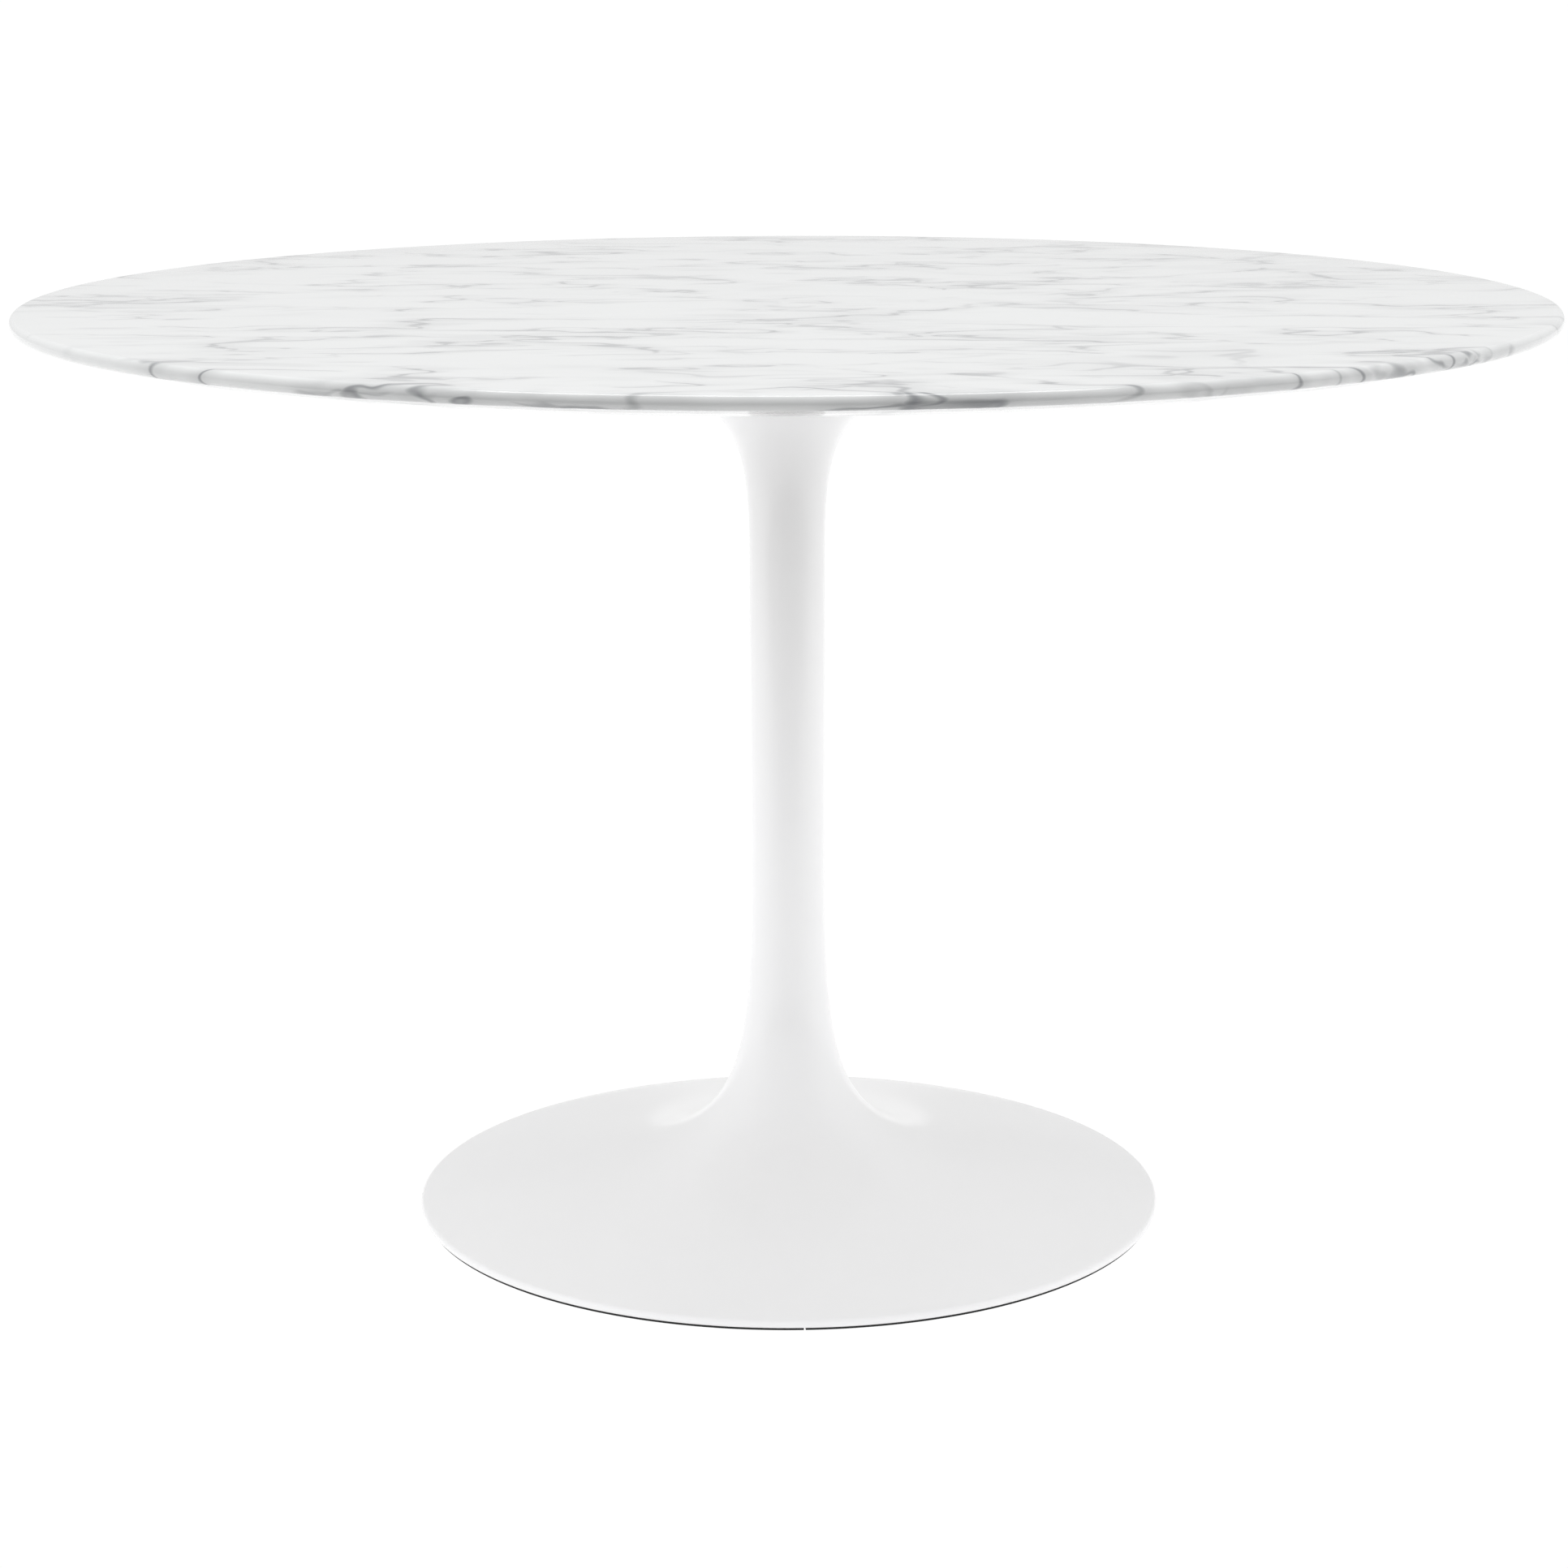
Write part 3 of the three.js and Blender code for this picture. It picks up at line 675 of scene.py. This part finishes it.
pedestal = {
    "columnRadius": 30.2 * mm, "wall": 5.5 * mm, "headRadius": 100 * mm, "headEdge": 8 * mm, "web": 10 * mm,
    "headFlareHeight": 161 * mm, "headFlarePull": 112 * mm, "headFlareReach": 79 * mm, "headFlareAngle": 54,
    "footFlareTop": 260 * mm, "footFlareFloor": 42 * mm, "dishSlope": 9.8, "dishReach": 0.885,
    "rimRadius": 3.6 * mm, "rimWidth": 33 * mm, "corner": 0.8 * mm, "landingInner": 62 * mm,
    "landingOuter": 80 * mm, "landingDepth": 8 * mm, "rodHole": 6.5 * mm, "bossRadius": 5.5 * mm,
    "bossInset": 46 * mm, "bossCount": 6, "pilotRadius": 2.2 * mm, "pilotDepth": 8 * mm,
    "segments": 224, "footSteps": 64, "headSteps": 36, "rimSteps": 20, "cornerSteps": 4,
    "apart": 1 * mm,  # the least step between an inside corner and the curve that it meets
}


def insideOf(points, wall):  # the points moved in by the wall's thickness, square to the outline
    moved = []
    for i, (radius, height) in enumerate(points):
        a, b = points[max(i - 1, 0)], points[min(i + 1, len(points) - 1)]
        along = Vector((b[0] - a[0], b[1] - a[1])).normalized()
        moved.append((radius - wall * along.y, height + wall * along.x))
    return moved


def heightAt(points, radius):  # height of a falling outline at a radius
    for (r0, z0), (r1, z1) in zip(points, points[1:]):
        if r1 <= radius:
            return z0 + (z1 - z0) * (radius - r0) / (r1 - r0)


def footOutline():  # from the rim's tangent point up to the straight column
    p, low, high = pedestal, *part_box("pedestal")
    slope = math.radians(p["dishSlope"])
    centre = (high.x - p["rimRadius"], low.z + p["rimRadius"])
    start = (centre[0] + p["rimRadius"] * math.sin(slope), centre[1] + p["rimRadius"] * math.cos(slope))
    reach = p["dishReach"] * (start[0] - p["columnRadius"])
    dish = (start[0] - reach, start[1] + reach * math.tan(slope))
    floor, top = (p["columnRadius"], p["footFlareFloor"]), (p["columnRadius"], p["footFlareTop"])
    return bezier(start, dish, floor, top, p["footSteps"])


def headOutline():  # from the straight column up to the head's edge
    p, high = pedestal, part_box("pedestal")[1]
    lean, reach = math.radians(p["headFlareAngle"]), p["headFlareReach"]
    start, edge = high.z - p["headFlareHeight"], (p["headRadius"], high.z - p["headEdge"])
    handle = (edge[0] - reach * math.cos(lean), edge[1] - reach * math.sin(lean))
    pull = (p["columnRadius"], start + p["headFlarePull"])
    return bezier((p["columnRadius"], start), pull, handle, edge, p["headSteps"])


footInside = insideOf(footOutline(), pedestal["wall"])


def makePedestal():
    p, low, high = pedestal, *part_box("pedestal")
    foot, head, apart = footOutline(), headOutline(), pedestal["apart"]
    centre = (high.x - p["rimRadius"], low.z + p["rimRadius"])
    rim = arc(centre, p["rimRadius"], -90, 90 - p["dishSlope"], p["rimSteps"])
    webLow, rimInner = high.z - p["web"], high.x - p["rimWidth"]
    headInside = [q for q in insideOf(head, p["wall"]) if q[1] < webLow - apart]
    inner, outer = p["landingInner"], p["landingOuter"]
    landing = heightAt(footInside, outer) - p["landingDepth"]
    corners = eased(
        [head[-2], head[-1], (p["headRadius"], high.z), (p["rodHole"], high.z)], p["corner"],
        p["cornerSteps"], closed=False,
    )
    web = [(p["rodHole"], high.z), (p["rodHole"], webLow), (headInside[-1][0] + apart, webLow)]
    ledge = [
        (inner, heightAt(footInside, inner)), (inner, landing), (outer, landing),
        (outer, heightAt(footInside, outer)),
    ]
    profile = rim + foot[1:] + head[:-1] + corners[1:-1] + web + headInside[::-1]
    profile += [q for q in footInside if q[0] < inner - apart][::-1] + ledge
    profile += [q for q in footInside if outer + apart < q[0] < rimInner - apart][::-1]
    profile += [(rimInner, heightAt(footInside, rimInner)), (rimInner, low.z), rim[0]]
    piece = turned("pedestalCasting", profile, glossLacquer, p["segments"])
    panelTop, circle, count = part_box("closing_panel")[1].z, rimInner - p["bossInset"], p["bossCount"]
    bossTop = heightAt(foot, circle) - p["wall"] / 2
    cut(piece, "UNION", holesOf(count, circle, p["bossRadius"], panelTop, bossTop))
    cut(
        piece, "DIFFERENCE",
        holesOf(count, circle, p["pilotRadius"], panelTop - toolOver, panelTop + p["pilotDepth"]),
        holesOf(2, plate["pinCircle"], plate["pinHole"], webLow - toolOver, high.z + toolOver),
    )
    stand(piece, "lacquer", "pedestal")


makePedestal()
print("pedestal made")


# Strip under the rim

strip = {
    "width": 12 * mm, "edge": 0.25 * mm, "edgeSteps": 3, "jointAngle": -87.8, "jointGap": 1.2 * mm,
    "steps": 256,
}


def makeStrip():
    low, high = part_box("edge_strip")
    outer, thick = high.x, high.z - low.z
    half = strip["jointGap"] / 2 / outer
    piece = grow(
        "edgeStrip", bpy.data.meshes.new("edgeStrip"), makeStripTree(), Radius=outer - strip["width"] / 2,
        Start=math.radians(strip["jointAngle"]) + half, Sweep=2 * math.pi - 2 * half, Width=strip["width"],
        Thickness=thick, Edge=strip["edge"], Corner=strip["edgeSteps"], Steps=strip["steps"],
        Material=cutRubber,
    )
    piece.data.transform(Matrix.Translation((0, 0, (low.z + high.z) / 2)))
    stand(piece, "rubber", "edge_strip")


makeStrip()
print("strip made")


# Weight, tie rod and closing panel inside the foot

weight = {
    "toBoss": 54 * mm, "gap": 4 * mm, "spigotGap": 0.5 * mm, "spigotHeight": 3 * mm, "recess": 20 * mm,
    "recessDepth": 14 * mm, "edge": 2.5 * mm, "spigotEdge": 0.5 * mm, "segments": 144,
}
tieRod = {
    "radius": 5.9 * mm, "pitch": 1.75 * mm, "threadDepth": 1 * mm, "lowThread": 70 * mm,
    "highThread": 24 * mm, "chamfer": 1 * mm, "washer": 14 * mm, "washerEdge": 0.4 * mm, "segments": 32,
}
panel = {
    "edge": 0.3 * mm, "screwHole": 2.2 * mm,
    "screw": {
        "radius": 1.95 * mm, "head": 4 * mm, "headHeight": 2.2 * mm, "socket": 2.5 * mm,
        "socketDepth": 1.2 * mm, "pitch": 0.7 * mm, "threadDepth": 0.4 * mm, "plain": 2.2 * mm,
    },
}


def makeWeight():
    p, w, low = pedestal, weight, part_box("base_weight")[0].z
    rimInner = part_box("pedestal")[1].x - p["rimWidth"]
    outer = rimInner - p["bossInset"] - p["bossRadius"] - w["toBoss"]
    landing = heightAt(footInside, p["landingOuter"]) - p["landingDepth"]
    slope = [(outer, heightAt(footInside, outer))] + [
        q for q in footInside if p["landingOuter"] < q[0] < outer
    ]
    slope = [(r, z - w["gap"]) for r, z in slope if z - w["gap"] < landing]
    spigot, recess = p["landingInner"] - w["spigotGap"], low + w["recessDepth"]
    corners = [
        (p["rodHole"], recess), (w["recess"], recess), (w["recess"], low), (outer, low), slope[0],
    ]
    lower = eased(corners + slope[1:2], w["edge"], 4, closed=False)[:-1]
    upper = eased(
        [slope[-1], (p["landingOuter"], landing), (spigot, landing), (spigot, landing + w["spigotHeight"]),
         (p["rodHole"], landing + w["spigotHeight"])], w["spigotEdge"], 3, closed=False,
    )
    profile = lower + slope[1:-1] + upper + [(p["rodHole"], recess)]
    stand(turned("baseWeight", profile, sandCastIron, w["segments"]), "iron", "base_weight")


def makeRod():
    low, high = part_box("tie_rod")
    radius, pitch, chamfer = tieRod["radius"], tieRod["pitch"], tieRod["chamfer"]
    profile = [(0, low.z), (radius - chamfer, low.z), (radius, low.z + chamfer)]
    profile += thread(radius, low.z + chamfer, low.z + tieRod["lowThread"], pitch)
    profile += thread(radius, high.z - tieRod["highThread"], high.z - chamfer, pitch)
    profile += [(radius - chamfer, high.z), (0, high.z)]
    rod = turned("tieRod", profile, zincPlating, tieRod["segments"], pitch, tieRod["threadDepth"])
    stand(rod, "zinc", "tie_rod")
    nutLow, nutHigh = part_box("rod_nut")
    stand(hexNut("rodNut", nutLow.z, nutHigh.z), "zinc", "rod_nut")
    low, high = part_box("rod_washer")
    washer = disc(
        "rodWasher", tieRod["washer"], low.z, high.z, tieRod["washerEdge"], zincPlating, segments=72,
        bore=plate["rodHole"],
    )
    stand(washer, "zinc", "rod_washer")


def makePanel():
    low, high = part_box("closing_panel")
    count = pedestal["bossCount"]
    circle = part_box("pedestal")[1].x - pedestal["rimWidth"] - pedestal["bossInset"]
    piece = disc("closingPanel", high.x, low.z, high.z, panel["edge"], grainedSheet)
    holes = holesOf(count, circle, panel["screwHole"], low.z - toolOver, high.z + toolOver)
    cut(piece, "DIFFERENCE", holes)
    stand(piece, "panel", "closing_panel")
    screw = buttonScrew("screw", panel["screw"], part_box("panel_screw_1")[1].z - low.z, zincPlating)
    screws = ringOf("panelScrews", screw, count, circle, low.z, zincPlating, spin=2 * math.pi, seed=9)
    stand(screws, "zinc", *numbered("panel_screw", count))


makeWeight()
makeRod()
makePanel()
print("weight, rod and panel made")


# Studio: a pale sweep that ends in front of the table, a pale surround that is a little darker behind it, and
# soft lights at both sides and overhead. Seen directly, the sweep and the surround are plain white. The
# sweep's pale part near the table also glows a little: this is painted fill light that lifts the shade under
# the table. The floor in front is painted dark grey: this is painted shade that stands for the unlit studio
# and darkens what the slab's edge and the column reflect.

studio = {  # sweepEnd is where along Y the floor turns from its painted-shade dark grey to pale and glowing
    "floorSize": 160, "floorColour": "#e0e0e0", "floorDark": "#404040", "sweepEnd": (-1.8, -1.0),
    "floorGlow": 0.38, "floorGap": 0.1 * mm, "white": 1.02,
    # Brightness of the surround, and the range of its direction's Y or Z over which one part turns to the next
    "front": 0.92, "frontRange": (-0.99, -0.7), "side": 0.93, "back": 0.8, "backRange": (0.05, 0.85),
    "sky": 1.02, "skyRange": (0.3, 0.8),
    # shine says whether a light shows in reflections: the side ones would blank out half of the polished top
    "lights": [
        {"place": (-2.45, -0.5, 1.0), "target": (0, 0, 0.5), "size": (1.2, 1.9), "power": 10, "shine": False},
        {"place": (2.5, -0.35, 1.0), "target": (0, 0, 0.5), "size": (1.0, 1.9), "power": 7.5, "shine": False},
        {"place": (0, -0.35, 3.2), "target": (0, -0.35, 0), "size": (2.6, 0.8), "power": 31, "shine": True},
    ],
}


def makeStudio():
    half = studio["floorSize"] / 2
    material, tree, shader, place = startMaterial("whiteSweep", **{
        "Roughness": 0.9, "Specular IOR Level": 0.2, "Emission Color": (1, 1, 1, 1),
    })
    across = addNode(tree, "ShaderNodeSeparateXYZ", {0: place})["Y"]
    near = addNode(
        tree, "ShaderNodeMapRange",
        {"Value": across, "From Min": studio["sweepEnd"][0], "From Max": studio["sweepEnd"][1]},
        interpolation_type="SMOOTHSTEP",
    )[0]
    colour = addNode(
        tree, "ShaderNodeMix",
        {0: near, 6: linear(studio["floorDark"]), 7: linear(studio["floorColour"])}, data_type="RGBA",
    )[2]
    # The glow is painted fill light, given only to the pale part near the table; the dark part in front stays
    # unlit as painted shade
    glow = addNode(tree, "ShaderNodeMath", {0: near, 1: studio["floorGlow"]}, operation="MULTIPLY")[0]
    tree.links.new(colour, shader["Base Color"])
    tree.links.new(glow, shader["Emission Strength"])
    seen = addNode(tree, "ShaderNodeLightPath")["Is Camera Ray"]
    plain = addNode(tree, "ShaderNodeEmission", {"Strength": studio["white"]})[0]
    lit = tree.nodes["Principled BSDF"].outputs[0]
    both = addNode(tree, "ShaderNodeMixShader", {0: seen, 1: lit, 2: plain})[0]
    # Clear from below, so that the underside of the table can be seen
    below = addNode(tree, "ShaderNodeNewGeometry")["Backfacing"]
    clear = addNode(tree, "ShaderNodeBsdfTransparent")[0]
    sweep = addNode(tree, "ShaderNodeMixShader", {0: below, 1: both, 2: clear})[0]
    tree.links.new(sweep, tree.nodes["Material Output"].inputs["Surface"])
    mesh = bpy.data.meshes.new("studioFloor")
    corners = [(-half, -half), (half, -half), (half, half), (-half, half)]
    mesh.from_pydata([(x, y, -studio["floorGap"]) for x, y in corners], [], [(0, 1, 2, 3)])
    mesh.materials.append(material)
    floor = bpy.data.objects.new("studioFloor", mesh)
    bpy.context.scene.collection.objects.link(floor)

    world = bpy.data.worlds.new("studioSurround")
    world.use_nodes = True
    tree = world.node_tree
    direction = addNode(tree, "ShaderNodeTexCoord")["Generated"]
    split = addNode(tree, "ShaderNodeSeparateXYZ", {0: direction})
    strength = studio["front"]
    turns = (("Y", "frontRange", "side"), ("Y", "backRange", "back"), ("Z", "skyRange", "sky"))
    for axis, turn, following in turns:
        low, high = studio[turn]
        share = addNode(
            tree, "ShaderNodeMapRange", {"Value": split[axis], "From Min": low, "From Max": high},
            interpolation_type="SMOOTHSTEP",
        )[0]
        strength = addNode(tree, "ShaderNodeMix", {0: share, 2: strength, 3: studio[following]})[0]
    seen = addNode(tree, "ShaderNodeLightPath")["Is Camera Ray"]
    strength = addNode(tree, "ShaderNodeMix", {0: seen, 2: strength, 3: studio["white"]})[0]
    background = tree.nodes["Background"]
    background.inputs["Color"].default_value = (1, 1, 1, 1)
    tree.links.new(strength, background.inputs["Strength"])
    bpy.context.scene.world = world

    for look in studio["lights"]:
        data = bpy.data.lights.new("softbox", "AREA")
        data.shape = "RECTANGLE"
        data.size, data.size_y = look["size"]
        data.energy = look["power"]
        light = bpy.data.objects.new("softbox", data)
        light.location = look["place"]
        light.visible_glossy = look["shine"]
        light.visible_camera = False
        aim = Vector(look["target"]) - light.location
        light.rotation_euler = aim.to_track_quat("-Z", "Y").to_euler()
        bpy.context.scene.collection.objects.link(light)


makeStudio()


# Camera

viewpoint = {
    "place": (-0.003, -2.9133, 1.0335), "pitch": 0.2299, "roll": -0.0028, "lens": 84.83, "sensor": 36,
}


def makeCamera():
    data = bpy.data.cameras.new("tableCamera")
    data.lens = viewpoint["lens"]
    data.sensor_width = viewpoint["sensor"]
    camera = bpy.data.objects.new("tableCamera", data)
    tilt = Matrix.Rotation(math.pi / 2 - viewpoint["pitch"], 4, "X")
    roll = Matrix.Rotation(viewpoint["roll"], 4, "Z")
    camera.matrix_world = Matrix.Translation(viewpoint["place"]) @ tilt @ roll
    bpy.context.scene.collection.objects.link(camera)
    bpy.context.scene.camera = camera


makeCamera()
bpy.context.scene.view_settings.view_transform = "Standard"
print("studio and camera made")
